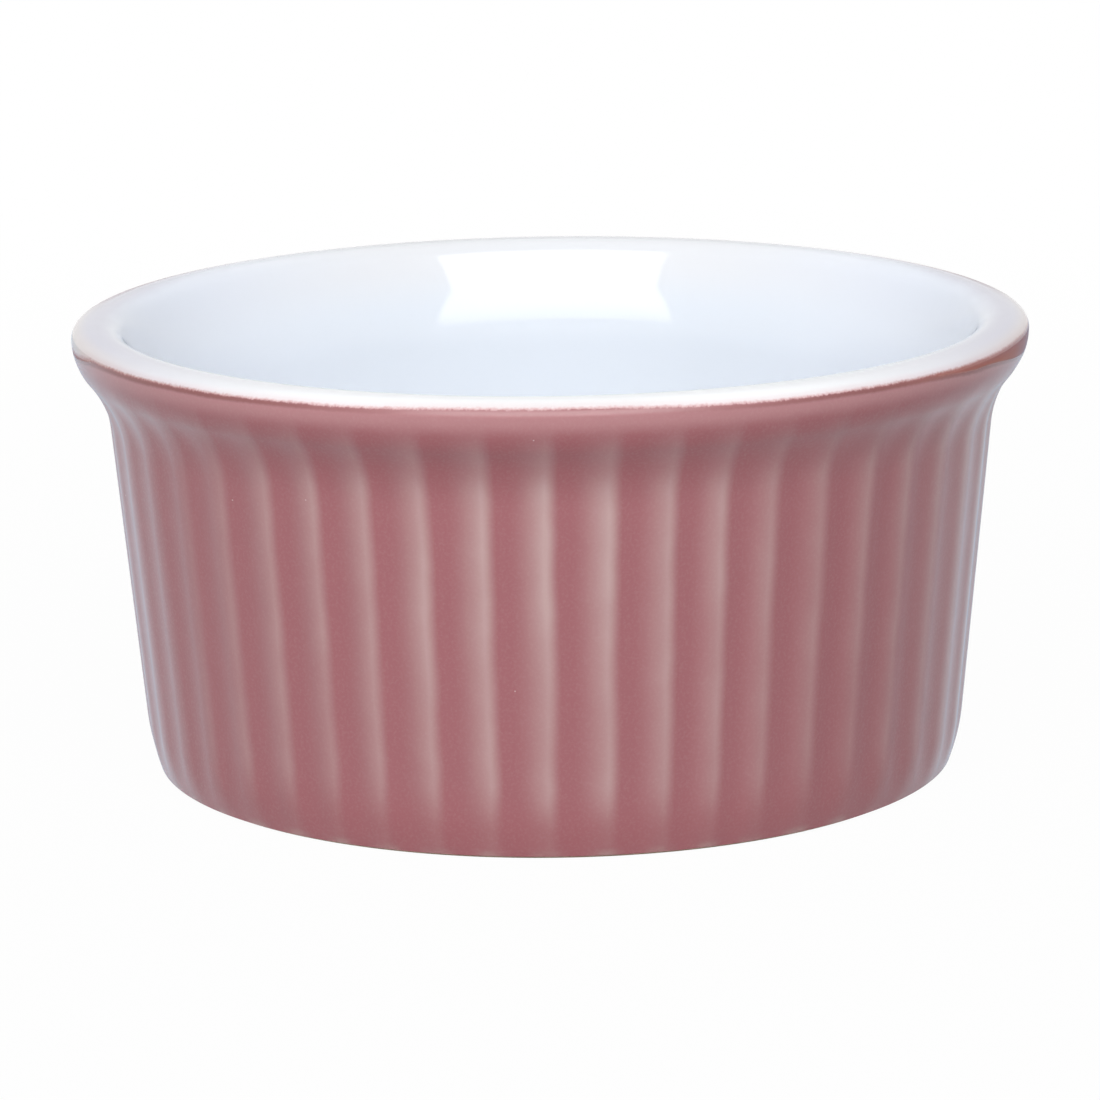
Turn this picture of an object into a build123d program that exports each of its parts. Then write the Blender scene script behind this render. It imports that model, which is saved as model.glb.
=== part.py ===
from build123d import *
import math
import os

# A fluted ramekin: a fired stoneware dish with a white glaze inside and over
# the lip, a coloured glaze on the fluted outside, and a clear coat under the
# base. Lengths are millimetres and angles are degrees. The axis of the dish is
# Z, the table is at Z = 0, and one ridge faces -Y. Wall sizes are those of the
# finished, glazed surface, unless their name says clay.

# Overall size
rim_diameter = 105.0
overall_height = 50.0
wall_draft = 5.4

# Glaze coats
glaze_thickness = 0.4
glaze_foot_gap = 0.4
glaze_meeting_angle = 26.0

# Lip, from its outermost edge over the top
clay_edge_radius = 0.9
edge_turn = 66.0
lip_dome_radius = 5.95
clay_shoulder_radius = 2.4

# Outside, from the lip down to the wall
lip_underside_radius = 6.25
lip_underside_angle = 40.0
cove_radius = 11.0

# Outside, where the wall turns in above the table
foot_curve_height = 6.0
foot_curve_radius = 22.0
clay_foot_edge_radius = 0.6

# Inside
wall_thickness = 5.2
inner_flare_angle = 32.0
inner_corner_radius = 7.0
floor_thickness = 6.2

# Underside
foot_ring_width = 4.0
clay_recess_depth = 2.0
recess_wall_angle = 40.0
clay_recess_corner_radius = 1.2
base_glaze_thickness = 0.3
base_glaze_gap = 0.5

# Flutes: shallow hollows with a round ridge between each two
flute_count = 48
flute_depth = 0.3
ridge_share = 0.5
flute_top_below_edge = 2.0
foot_section_shares = (0.0, 0.22, 0.48, 0.76, 1.0)
cove_section_shares = (0.0, 0.25, 0.5, 0.75, 1.0)
underside_section_shares = (0.0, 0.25, 0.5, 0.75, 1.0)


def cosine(angle):
    """Return the cosine of an angle in degrees."""
    return math.cos(math.radians(angle))


def sine(angle):
    """Return the sine of an angle in degrees."""
    return math.sin(math.radians(angle))


def tangent(angle):
    """Return the tangent of an angle in degrees."""
    return math.tan(math.radians(angle))


def spot(centre, radius, angle):
    """Return the point at an angle on a circle, as a radius and a height.

    A negative radius gives the opposite point, which is how the concave
    stretches are placed: the angle is always the slope of the surface's
    outward normal above the horizontal.
    """
    return (centre[0] + radius * cosine(angle), centre[1] + radius * sine(angle))


def bend(centre, radius, start, end):
    """Draw an arc of a circle in the half plane through the axis."""
    ends = (start, (start + end) / 2, end)
    return ThreePointArc(*[stood_up(spot(centre, radius, angle)) for angle in ends])


def straight(start, end):
    """Draw a straight edge between two points of the half plane."""
    return Line(stood_up(start), stood_up(end))


def stood_up(point):
    """Stand a radius and a height up in the XZ plane."""
    return (point[0], 0, point[1])


def skins(edges):
    """Turn each edge of the half plane into a surface of revolution."""
    return [Face.revolve(edge, 360, Axis.Z) for edge in edges]


# The outline turns through a few circles. Each centre follows from the one
# before it, from the outermost edge of the lip down the outside, and from the
# same edge over the lip and down the inside.
rim_radius = rim_diameter / 2
draft_slope = tangent(wall_draft)
edge_radius = clay_edge_radius + glaze_thickness
dome_rise = lip_dome_radius * (1 - sine(edge_turn))
edge_height = overall_height - dome_rise - edge_radius * sine(edge_turn)
edge_centre = (rim_radius - edge_radius, edge_height)
dome_centre = spot(edge_centre, edge_radius - lip_dome_radius, edge_turn)
shoulder_radius = clay_shoulder_radius + glaze_thickness
shoulder_centre = (dome_centre[0], overall_height - shoulder_radius)

underside_centre = (rim_radius - lip_underside_radius, edge_height)
cove_top = spot(underside_centre, lip_underside_radius, -lip_underside_angle)
cove_centre = spot(cove_top, cove_radius, -lip_underside_angle)
wall_top = spot(cove_centre, -cove_radius, -wall_draft)
wall_foot = (wall_top[0] - draft_slope * (wall_top[1] - foot_curve_height), foot_curve_height)
foot_curve_centre = spot(wall_foot, -foot_curve_radius, -wall_draft)

# The inner flare is one arc that touches the sloped end of the lip's shoulder
# and the inner wall line, so its radius follows from where those two cross.
flare_start = 180 - inner_flare_angle
flare_end = 180 - wall_draft
flare_top = spot(shoulder_centre, shoulder_radius, flare_start)
inner_wall_reach = wall_top[0] - wall_thickness + draft_slope * (flare_top[1] - wall_top[1])
crossing_drop = (flare_top[0] - inner_wall_reach) / (tangent(inner_flare_angle) - draft_slope)
crossing_length = crossing_drop / cosine(inner_flare_angle)
flare_radius = crossing_length / tangent((inner_flare_angle - wall_draft) / 2)
flare_centre = spot(flare_top, -flare_radius, flare_start)
inner_wall_top = spot(flare_centre, flare_radius, flare_end)
corner_height = floor_thickness + inner_corner_radius
corner_side_drop = inner_wall_top[1] - corner_height + inner_corner_radius * sine(wall_draft)
corner_side_radius = inner_wall_top[0] - draft_slope * corner_side_drop
corner_centre = (corner_side_radius - inner_corner_radius * cosine(wall_draft), corner_height)

# The clay's bare edge on the table touches the inside of the foot curve, and
# the recess under the base starts one ring's width further in.
clay_foot_radius = foot_curve_radius - glaze_thickness
foot_edge_drop = foot_curve_centre[1] - clay_foot_edge_radius
foot_edge_turn = -math.degrees(math.asin(foot_edge_drop / (clay_foot_radius - clay_foot_edge_radius)))
foot_edge_centre = spot(foot_curve_centre, clay_foot_radius - clay_foot_edge_radius, foot_edge_turn)
ring_inner_radius = foot_edge_centre[0] - foot_ring_width
recess_corner_height = clay_recess_depth - clay_recess_corner_radius
recess_wall_reach = (
    recess_corner_height * tangent(recess_wall_angle)
    + clay_recess_corner_radius / cosine(recess_wall_angle)
)
recess_corner_centre = (ring_inner_radius - recess_wall_reach, recess_corner_height)

# Heights between which the flutes run: full on the straight wall, and fading
# out where the wall turns in at the foot and under the lip
flute_foot = glaze_foot_gap
flute_top = edge_height - flute_top_below_edge


def crest_radius(height, inset):
    """Return the radius of the ridge tops at a height, on the glaze or on the clay.

    The inset is zero on the finished surface and the glaze's thickness on the clay.
    """
    foot_radius = foot_curve_radius - inset
    if height < spot(foot_curve_centre, foot_radius, -wall_draft)[1]:
        rise = height - foot_curve_centre[1]
        return foot_curve_centre[0] + math.sqrt(foot_radius**2 - rise**2)
    if height < spot(cove_centre, -cove_radius - inset, -wall_draft)[1]:
        return wall_top[0] - draft_slope * (wall_top[1] - height) - inset / cosine(wall_draft)
    if height < spot(cove_centre, -cove_radius - inset, -lip_underside_angle)[1]:
        rise = height - cove_centre[1]
        return cove_centre[0] - math.sqrt((cove_radius + inset) ** 2 - rise**2)
    rise = height - underside_centre[1]
    return underside_centre[0] + math.sqrt((lip_underside_radius - inset) ** 2 - rise**2)


def depth_at(height):
    """Return the depth of the flutes at a height."""
    above = max(0, height - wall_top[1]) / (flute_top - wall_top[1])
    below = max(0, foot_curve_height - height) / (foot_curve_height - flute_foot)
    return flute_depth * max(0, 1 - above**2 - below**2)


def fluted_ring(height, inset):
    """Draw the closed outline of the fluted wall at one height."""
    crest = crest_radius(height, inset)
    depth = depth_at(height)
    half_pitch = 180 / flute_count

    def ring_point(ridge, share):
        """Place a point a share of half a pitch past a ridge's top."""
        from_ridge = min(share, 2 - share) if share > 0 else -share
        across, along = spot((0, 0), crest - from_ridge * depth, (2 * ridge + share) * half_pitch - 90)
        return (across, along, height)

    edges = []
    for ridge in range(flute_count):
        ridge_end = ring_point(ridge, ridge_share)
        flute_end = ring_point(ridge, 2 - ridge_share)
        edges.append(ThreePointArc(ring_point(ridge, -ridge_share), ring_point(ridge, 0), ridge_end))
        edges.append(ThreePointArc(ridge_end, ring_point(ridge, 1), flute_end))
    return Wire(edges)


def between(low, high, shares):
    """Return the heights at given shares of the way from low to high."""
    return [low + share * (high - low) for share in shares]


def fluted_skin(inset):
    """Loft the fluted wall's faces, from the outer glaze's lower edge to the lip."""
    cove_high = spot(cove_centre, -cove_radius - inset, -lip_underside_angle)[1]
    zones = [
        between(flute_foot, foot_curve_height, foot_section_shares),
        [foot_curve_height, wall_top[1]],
        between(wall_top[1], cove_high, cove_section_shares),
        between(cove_high, flute_top, underside_section_shares),
    ]
    faces = []
    for heights in zones:
        rings = [fluted_ring(height, inset) for height in heights]
        zone = Solid.make_loft(rings, ruled=len(rings) == 2)
        faces += zone.faces().sort_by(Axis.Z)[1:-1]
    return faces


def lip_side_edges(inset):
    """Draw the lip's outside, from the top of the flutes to where the two glazes meet."""
    radius = lip_underside_radius - inset
    join = -math.degrees(math.asin((edge_height - flute_top) / radius))
    return [
        bend(underside_centre, radius, join, 0),
        bend(edge_centre, edge_radius - inset, 0, glaze_meeting_angle),
    ]


def bowl_edges(inset):
    """Draw the surface from where the glazes meet, over the lip, to the floor's centre."""
    flare_foot = spot(flare_centre, flare_radius - inset, flare_end)
    corner_start = spot(corner_centre, -inner_corner_radius - inset, flare_end)
    floor_edge = spot(corner_centre, -inner_corner_radius - inset, 90)
    return [
        bend(edge_centre, edge_radius - inset, glaze_meeting_angle, edge_turn),
        bend(dome_centre, lip_dome_radius - inset, edge_turn, 90),
        bend(shoulder_centre, shoulder_radius - inset, 90, flare_start),
        bend(flare_centre, flare_radius - inset, flare_start, flare_end),
        straight(flare_foot, corner_start),
        bend(corner_centre, -inner_corner_radius - inset, flare_end, 90),
        straight(floor_edge, (0, floor_edge[1])),
    ]


def foot_edges():
    """Draw the bare clay from the outer glaze's lower edge to the foot ring's inner edge."""
    glaze_edge_turn = -math.degrees(math.asin((foot_curve_centre[1] - flute_foot) / clay_foot_radius))
    return [
        bend(foot_curve_centre, clay_foot_radius, glaze_edge_turn, foot_edge_turn),
        bend(foot_edge_centre, clay_foot_edge_radius, foot_edge_turn, -90),
        straight((foot_edge_centre[0], 0), (ring_inner_radius, 0)),
    ]


def recess_edges(coat, low):
    """Draw the recess under the base from a height on its wall to its centre.

    The coat is zero on the clay and the coat's thickness on its free surface.
    """
    corner_radius = clay_recess_corner_radius - coat
    wall_end = spot(recess_corner_centre, corner_radius, recess_wall_angle)
    wall_start = (wall_end[0] + (wall_end[1] - low) * tangent(recess_wall_angle), low)
    ceiling_edge = spot(recess_corner_centre, corner_radius, 90)
    return [
        straight(wall_start, wall_end),
        bend(recess_corner_centre, corner_radius, recess_wall_angle, 90),
        straight(ceiling_edge, (0, ceiling_edge[1])),
    ]


def joined(first, second):
    """Draw a straight edge from the start of one run of edges to the start of another."""
    return Line(first[0] @ 0, second[0] @ 0)


def sewn(faces):
    """Sew faces that meet all round into one solid."""
    return Solid(Shell(faces))


def make_stoneware_body():
    """Make the fired clay: floor, fluted wall, flared lip and bare foot ring."""
    outline = lip_side_edges(glaze_thickness) + bowl_edges(glaze_thickness)
    outline += foot_edges() + recess_edges(0, 0)
    return sewn(fluted_skin(glaze_thickness) + skins(outline))


def make_liner_glaze():
    """Make the white coat on the floor, the inner wall and the top of the lip."""
    finished = bowl_edges(0)
    clay = bowl_edges(glaze_thickness)
    return sewn(skins(finished + clay + [joined(finished, clay)]))


def make_outer_glaze():
    """Make the coloured coat on the fluted wall and the underside of the lip."""
    finished = lip_side_edges(0)
    clay = lip_side_edges(glaze_thickness)
    meeting = Line(finished[-1] @ 1, clay[-1] @ 1)
    foot_ends = [(crest_radius(flute_foot, inset), flute_foot) for inset in (0, glaze_thickness)]
    outline = finished + clay + [meeting, straight(*foot_ends)]
    return sewn(fluted_skin(0) + fluted_skin(glaze_thickness) + skins(outline))


def make_base_glaze():
    """Make the coat in the recess under the base, which stops above the table."""
    free = recess_edges(base_glaze_thickness, base_glaze_gap)
    clay = recess_edges(0, base_glaze_gap)
    return sewn(skins(free + clay + [joined(free, clay)]))


os.makedirs("parts", exist_ok=True)
pieces = {
    "stoneware_body": make_stoneware_body(),
    "liner_glaze": make_liner_glaze(),
    "outer_glaze": make_outer_glaze(),
    "base_glaze": make_base_glaze(),
}
for name, piece in pieces.items():
    export_step(piece, f"parts/{name}.step")
    print(name, "volume", round(piece.volume, 1), "size", piece.bounding_box().size)
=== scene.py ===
"""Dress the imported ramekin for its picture: a fluted stoneware dish, white inside and dusty pink outside."""

import logging
import math
from dataclasses import dataclass
from enum import Enum
from functools import cached_property

import bmesh
import bpy
from mathutils import Matrix, Vector


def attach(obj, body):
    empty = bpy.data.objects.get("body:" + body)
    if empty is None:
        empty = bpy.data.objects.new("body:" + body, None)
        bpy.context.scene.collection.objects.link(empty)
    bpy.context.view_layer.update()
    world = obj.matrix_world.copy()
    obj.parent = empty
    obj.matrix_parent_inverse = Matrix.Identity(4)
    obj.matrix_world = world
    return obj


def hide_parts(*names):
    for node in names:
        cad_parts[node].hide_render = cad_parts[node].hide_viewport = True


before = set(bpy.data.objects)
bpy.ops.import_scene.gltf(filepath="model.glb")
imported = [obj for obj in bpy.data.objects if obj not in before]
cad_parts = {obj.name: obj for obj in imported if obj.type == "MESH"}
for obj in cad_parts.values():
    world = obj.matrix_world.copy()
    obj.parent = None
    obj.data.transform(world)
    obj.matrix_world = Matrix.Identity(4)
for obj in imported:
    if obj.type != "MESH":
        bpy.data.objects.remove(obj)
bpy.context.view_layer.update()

LOG = logging.getLogger("ramekin")
MM = 0.001
FLUTE_MAP = "flute_map"

Point = tuple[float, float]
Wave = tuple[float, float]
Place = tuple[float, float, float]
Colour = tuple[float, float, float]

BLACK: Colour = (0.0, 0.0, 0.0)
WHITE: Colour = (1.0, 1.0, 1.0)
# How strongly a glaze bends light.
GLAZE_IOR = 1.5
# The dish's axis, as the spin operator takes it.
UPRIGHT = {"cent": (0.0, 0.0, 0.0), "axis": (0.0, 0.0, 1.0)}


class Slot(Enum):
    """The record's material slots, one for each layer of the dish."""

    STONEWARE = "stoneware"
    WHITE_GLAZE = "white_glaze"
    PINK_GLAZE = "pink_glaze"
    BASE_COAT = "base_coat"


def spot(centre: Point, radius: float, angle: float) -> Point:
    """Find a point on a circle in the half plane through the dish's axis.

    Args:
        centre: The circle's centre, as a distance from the axis and a height.
        radius: The circle's radius. A negative one gives the opposite point.
        angle: The slope of the outward normal above the horizontal, in degrees.

    Returns:
        The point, as a distance from the axis and a height.
    """
    turn = math.radians(angle)
    return (centre[0] + radius * math.cos(turn), centre[1] + radius * math.sin(turn))


@dataclass(frozen=True)
class Arc:
    """An arc of the dish's outline, in millimetres and degrees."""

    centre: Point
    radius: float
    start: float
    end: float
    steps: int

    def point(self, angle: float) -> Point:
        """Return the arc's point at an angle."""
        return spot(self.centre, self.radius, angle)

    def moved_in(self, depth: float) -> "Arc":
        """Return the same arc a depth below the surface."""
        return Arc(self.centre, self.radius - depth, self.start, self.end, self.steps)


@dataclass(frozen=True)
class DishShape:
    """The outline of the glazed dish, in millimetres and degrees, as its solids have it."""

    rim_radius: float = 52.47
    height: float = 49.99
    draft: float = 5.4
    glaze: float = 0.4
    glaze_foot_gap: float = 0.4
    glaze_meeting: float = 26.0
    edge_radius: float = 1.3
    edge_turn: float = 66.0
    dome_radius: float = 5.95
    shoulder_radius: float = 2.8
    underside_radius: float = 6.25
    underside_angle: float = 40.0
    cove_radius: float = 11.0
    foot_curve_height: float = 6.0
    foot_curve_radius: float = 22.0
    wall_thickness: float = 5.2
    flare_angle: float = 32.0
    corner_radius: float = 7.0
    floor_height: float = 6.2

    @property
    def edge_centre(self) -> Point:
        """Centre of the small arc round the lip's outermost edge."""
        rise = self.dome_radius * (1 - math.sin(math.radians(self.edge_turn)))
        drop = rise + self.edge_radius * math.sin(math.radians(self.edge_turn))
        return (self.rim_radius - self.edge_radius, self.height - drop)

    @property
    def dome_centre(self) -> Point:
        """Centre of the flat arc over the lip."""
        return spot(self.edge_centre, self.edge_radius - self.dome_radius, self.edge_turn)

    @property
    def shoulder_centre(self) -> Point:
        """Centre of the arc at the lip's inner edge."""
        return (self.dome_centre[0], self.height - self.shoulder_radius)

    @property
    def underside_centre(self) -> Point:
        """Centre of the arc under the lip."""
        return (self.rim_radius - self.underside_radius, self.edge_centre[1])

    @property
    def cove_top(self) -> Point:
        """Where the hollow of the cove turns into the lip's underside."""
        return spot(self.underside_centre, self.underside_radius, -self.underside_angle)

    @property
    def cove_centre(self) -> Point:
        """Centre of the hollow arc between lip and wall."""
        return spot(self.cove_top, self.cove_radius, -self.underside_angle)

    @property
    def wall_top(self) -> Point:
        """Where the straight outer wall starts to flare."""
        return spot(self.cove_centre, -self.cove_radius, -self.draft)

    @property
    def slope(self) -> float:
        """How far the wall leans out for each millimetre of height."""
        return math.tan(math.radians(self.draft))

    @property
    def wall_foot(self) -> Point:
        """Where the straight outer wall starts to turn in."""
        drop = self.wall_top[1] - self.foot_curve_height
        return (self.wall_top[0] - self.slope * drop, self.foot_curve_height)

    @property
    def foot_curve_centre(self) -> Point:
        """Centre of the arc that turns the wall in above the table."""
        return spot(self.wall_foot, -self.foot_curve_radius, -self.draft)

    @property
    def flare_start(self) -> float:
        """Slope at which the lip's shoulder runs into the inner flare."""
        return 180 - self.flare_angle

    @property
    def wall_side(self) -> float:
        """Slope of the inner wall's normal."""
        return 180 - self.draft

    @property
    def flare_top(self) -> Point:
        """Where the lip's shoulder meets the inner flare."""
        return spot(self.shoulder_centre, self.shoulder_radius, self.flare_start)

    @property
    def flare_radius(self) -> float:
        """Radius of the inner flare, which touches the shoulder and the inner wall."""
        level = self.flare_top[1] - self.wall_top[1]
        reach = self.wall_top[0] - self.wall_thickness + self.slope * level
        lean = math.tan(math.radians(self.flare_angle))
        drop = (self.flare_top[0] - reach) / (lean - self.slope)
        length = drop / math.cos(math.radians(self.flare_angle))
        return length / math.tan(math.radians((self.flare_angle - self.draft) / 2))

    @property
    def flare_centre(self) -> Point:
        """Centre of the inner flare."""
        return spot(self.flare_top, -self.flare_radius, self.flare_start)

    @property
    def inner_wall_top(self) -> Point:
        """Where the inner flare meets the straight inner wall."""
        return spot(self.flare_centre, self.flare_radius, self.wall_side)

    @property
    def corner_centre(self) -> Point:
        """Centre of the round corner between inner wall and floor."""
        height = self.floor_height + self.corner_radius
        lean = math.radians(self.draft)
        drop = self.inner_wall_top[1] - height + self.corner_radius * math.sin(lean)
        side = self.inner_wall_top[0] - self.slope * drop
        return (side - self.corner_radius * math.cos(lean), height)

    def outside_arcs(self, steps: tuple[int, int, int, int]) -> list[Arc]:
        """List the outer wall's arcs, from the foot up to where the glazes meet.

        Args:
            steps: Steps of the foot curve, cove, underside and edge.

        Returns:
            The arcs. A straight wall joins the first two.
        """
        drop = self.foot_curve_centre[1] - self.glaze_foot_gap
        low = -math.degrees(math.asin(drop / self.foot_curve_radius))
        return [
            Arc(self.foot_curve_centre, self.foot_curve_radius, low, -self.draft, steps[0]),
            Arc(self.cove_centre, -self.cove_radius, -self.draft, -self.underside_angle, steps[1]),
            Arc(self.underside_centre, self.underside_radius, -self.underside_angle, 0.0, steps[2]),
            Arc(self.edge_centre, self.edge_radius, 0.0, self.glaze_meeting, steps[3]),
        ]

    def inside_arcs(self, steps: tuple[int, int, int, int, int]) -> list[Arc]:
        """List the arcs from where the glazes meet, over the lip and down to the floor.

        Args:
            steps: Steps of the edge, dome, shoulder, flare and corner.

        Returns:
            The arcs. A straight wall joins the last two.
        """
        return [
            Arc(self.edge_centre, self.edge_radius, self.glaze_meeting, self.edge_turn, steps[0]),
            Arc(self.dome_centre, self.dome_radius, self.edge_turn, 90.0, steps[1]),
            Arc(self.shoulder_centre, self.shoulder_radius, 90.0, self.flare_start, steps[2]),
            Arc(self.flare_centre, self.flare_radius, self.flare_start, self.wall_side, steps[3]),
            Arc(self.corner_centre, -self.corner_radius, self.wall_side, 90.0, steps[4]),
        ]


@dataclass(frozen=True)
class Flutes:
    """The shallow hollows round the wall, with a round ridge between each two.

    The drift moves them round by a few waves, each with its number of crests round the dish, its size in
    degrees and its start in radians.
    """

    count: int = 48
    depth: float = 0.2
    ridge_share: float = 0.5
    foot: float = 0.4
    full_from: float = 6.0
    full_to: float = 38.25
    top: float = 46.3
    set_off: float = -1.4
    drift: tuple[tuple[int, float, float], ...] = (
        (3, 0.938, 2.77),
        (4, 0.22, 0.0),
        (6, 0.519, 0.23),
        (11, 0.192, 0.13),
        (13, 0.213, -2.72),
    )

    def depth_at(self, height: float) -> float:
        """Find the depth of the hollows at a height, in millimetres.

        Args:
            height: The height.

        Returns:
            The depth, which dies out under the lip and at the foot.
        """
        above = max(0.0, height - self.full_to) / (self.top - self.full_to)
        below = max(0.0, self.full_from - height) / (self.full_from - self.foot)
        return self.depth * max(0.0, 1 - above**2 - below**2)

    def hollow(self, phase: float) -> float:
        """Return how far down the hollow a place is.

        Args:
            phase: The place as a count of flutes, where a whole number is a ridge's top.

        Returns:
            A share of the depth, from 0 on the ridge to 1 in the middle of the hollow.
        """
        away = abs(phase - round(phase)) * 2
        if away < self.ridge_share:
            return away**2 / self.ridge_share
        return 1 - (1 - away) ** 2 / (1 - self.ridge_share)

    def turned(self, phase: float) -> float:
        """Return the angle of a place round the dish, in radians.

        The ridges are a little uneven, as on a dish whose mould was cut by hand.

        Args:
            phase: The place as a count of flutes from the one that faces the viewer.

        Returns:
            The angle, where 0 faces the viewer.
        """
        even = phase * 2 * math.pi / self.count
        uneven = sum(size * math.sin(waves * even + start) for waves, size, start in self.drift)
        return even + math.radians(self.set_off + uneven)


class Outline:
    """A chain of edges in the XZ half plane, spun round the axis into a closed shell."""

    def __init__(self, start: Point) -> None:
        """Start the chain.

        Args:
            start: Its first point, as a distance from the axis and a height, in millimetres.
        """
        self.mesh = bmesh.new()
        self.first = self.mesh.verts.new(self.place(start))
        self.tip = self.first

    @staticmethod
    def place(point: Point) -> Vector:
        """Turn a distance from the axis and a height into a place in metres."""
        return Vector((point[0] * MM, 0.0, point[1] * MM))

    def bend(self, arc: Arc) -> None:
        """Lead the chain along an arc.

        Args:
            arc: The arc, which starts where the chain ends.
        """
        turned = bmesh.ops.spin(
            self.mesh,
            geom=[self.tip],
            cent=self.place(arc.centre),
            axis=(0.0, -1.0, 0.0),
            angle=math.radians(arc.end - arc.start),
            steps=arc.steps,
            use_duplicate=False,
        )
        self.tip = next(part for part in turned["geom_last"] if isinstance(part, bmesh.types.BMVert))

    def run(self, end: Point, steps: int = 1) -> None:
        """Lead the chain straight to a point.

        Args:
            end: The point, as a distance from the axis and a height.
            steps: The number of equal steps.
        """
        stride = (self.place(end) - self.tip.co) / steps
        for _ in range(steps):
            grown = bmesh.ops.extrude_vert_indiv(self.mesh, verts=[self.tip])
            self.tip = grown["verts"][0]
            bmesh.ops.translate(self.mesh, verts=[self.tip], vec=stride)

    def back_along(self, arc: Arc) -> None:
        """Lead the chain straight to an arc's end and back along it."""
        self.run(arc.point(arc.end))
        self.bend(Arc(arc.centre, arc.radius, arc.end, arc.start, arc.steps))

    def close(self) -> None:
        """Join the chain's last point to its first."""
        self.mesh.edges.new((self.tip, self.first))

    def spun(self, wedges: int, steps: int) -> bmesh.types.BMesh:
        """Spin the chain a full turn round the dish's axis.

        Args:
            wedges: The number of equal wedges of the full turn. One is spun, and the rest repeat it.
            steps: The number of steps in a wedge.

        Returns:
            The mesh, with its poles merged and its faces turned outwards.
        """
        mesh = self.mesh
        wedge = 2 * math.pi / wedges
        to_front = Matrix.Rotation(-math.pi / 2, 3, "Z")
        bmesh.ops.rotate(mesh, verts=mesh.verts[:], cent=(0, 0, 0), matrix=to_front)
        chain = mesh.verts[:] + mesh.edges[:]
        bmesh.ops.spin(mesh, geom=chain, angle=wedge, steps=steps, use_duplicate=False, **UPRIGHT)
        slice_of_dish = mesh.verts[:] + mesh.edges[:] + mesh.faces[:]
        turn = 2 * math.pi - wedge
        bmesh.ops.spin(mesh, geom=slice_of_dish, angle=turn, steps=wedges - 1, use_duplicate=True, **UPRIGHT)
        bmesh.ops.remove_doubles(mesh, verts=mesh.verts[:], dist=MM / 1000)
        # An edge along the axis sweeps out no faces, so it is left loose.
        on_axis = [edge for edge in mesh.edges if not edge.link_faces]
        bmesh.ops.delete(mesh, geom=on_axis, context="EDGES")
        bmesh.ops.recalc_face_normals(mesh, faces=mesh.faces[:])
        self.put_in_order()
        return mesh

    def put_in_order(self) -> None:
        """Number the mesh's parts by their places, because merging leaves them in another order each run."""
        for rank, vert in enumerate(sorted(self.mesh.verts, key=lambda vert: tuple(vert.co))):
            vert.index = rank
        self.mesh.verts.sort()
        for parts in (self.mesh.edges, self.mesh.faces):
            ranked = sorted(parts, key=lambda part: sorted(vert.index for vert in part.verts))
            for rank, part in enumerate(ranked):
                part.index = rank
            parts.sort()


@dataclass(frozen=True)
class Ramp:
    """A smooth change from a start to an end while a value goes from low to high."""

    low: "Value"
    high: "Value"
    start: float = 0.0
    end: float = 1.0


@dataclass(frozen=True)
class Reading:
    """What a node tree works out at each place of a surface, ready for arithmetic."""

    bench: "NodeBench"
    socket: bpy.types.NodeSocket

    def then(self, work: str, other: "Value" = 0.0) -> "Reading":
        """Do one sum of arithmetic with another value, named as the Math node names it."""
        return self.bench.add("Math", {0: self, 1: other}, operation=work)

    def __add__(self, other: "Value") -> "Reading":
        """Add a value."""
        return self.then("ADD", other)

    def __sub__(self, other: "Value") -> "Reading":
        """Take a value away."""
        return self.then("SUBTRACT", other)

    def __mul__(self, other: "Value") -> "Reading":
        """Multiply by a value."""
        return self.then("MULTIPLY", other)

    def __truediv__(self, other: "Value") -> "Reading":
        """Divide by a value."""
        return self.then("DIVIDE", other)

    def __abs__(self) -> "Reading":
        """Drop the sign."""
        return self.then("ABSOLUTE")

    def most(self, other: "Value") -> "Reading":
        """Return the larger of two values."""
        return self.then("MAXIMUM", other)

    def ease(self, *ramps: Ramp) -> "Reading":
        """Run along one or more ramps, and multiply what they give.

        Args:
            ramps: The ramps.

        Returns:
            Their product.
        """
        shares = []
        for ramp in ramps:
            inputs = dict(enumerate((self, ramp.low, ramp.high, ramp.start, ramp.end)))
            shares.append(self.bench.add("MapRange", inputs, interpolation_type="SMOOTHSTEP"))
        product = shares[0]
        for share in shares[1:]:
            product *= share
        return product


Value = Reading | float | Colour
Inputs = dict[int | str, Value]


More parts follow.
